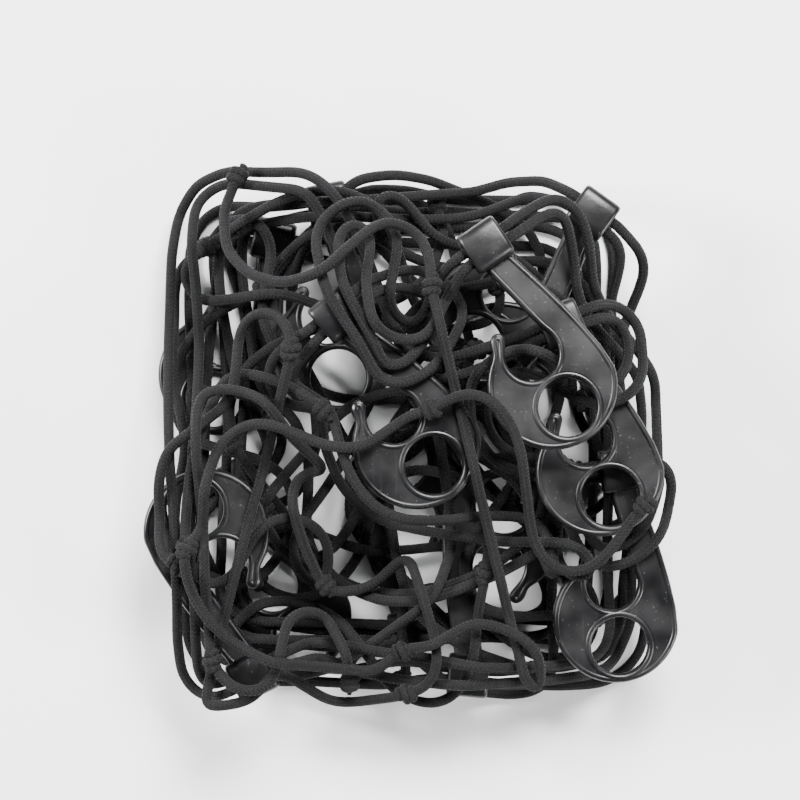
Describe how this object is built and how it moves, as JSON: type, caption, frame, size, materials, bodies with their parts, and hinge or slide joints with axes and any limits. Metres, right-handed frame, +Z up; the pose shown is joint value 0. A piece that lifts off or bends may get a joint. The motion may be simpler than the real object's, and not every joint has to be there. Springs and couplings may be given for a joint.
{
  "type": "cargo net",
  "caption": "Elastic mesh net of black braided cord with a doubled border and plastic hooks along it, gathered in a flat heap, for tying down loads.",
  "frame": {"origin": "middle of the heap's bounding box in x and y, on the surface that it rests on", "axes": "+Z up from the surface, +Y towards the top of the heap as the picture shows it, which is its longest side, +X to the right"},
  "size_m": [0.1944, 0.1988, 0.0805],
  "materials": {
    "black_cord": "matte braided elastic cord, black, a little fuzzy",
    "black_plastic": "satin moulded plastic, black, with fine scratches"
  },
  "bodies": {
    "root": {"border_cord_inner": "black_cord", "border_cord_outer": "black_cord", "cross_cord_1": "black_cord", "cross_cord_2": "black_cord", "cross_cord_3": "black_cord", "cross_cord_4": "black_cord", "cross_cord_5": "black_cord", "hook_a": "black_plastic", "hook_b": "black_plastic", "hook_c": "black_plastic", "hook_d": "black_plastic", "hook_e": "black_plastic", "hook_f": "black_plastic", "hook_g": "black_plastic", "hook_h": "black_plastic", "hook_i": "black_plastic", "hook_j": "black_plastic", "hook_k": "black_plastic", "hook_l": "black_plastic", "long_cord_1": "black_cord", "long_cord_2": "black_cord", "long_cord_3": "black_cord", "long_cord_4": "black_cord"}
  },
  "joints": []
}
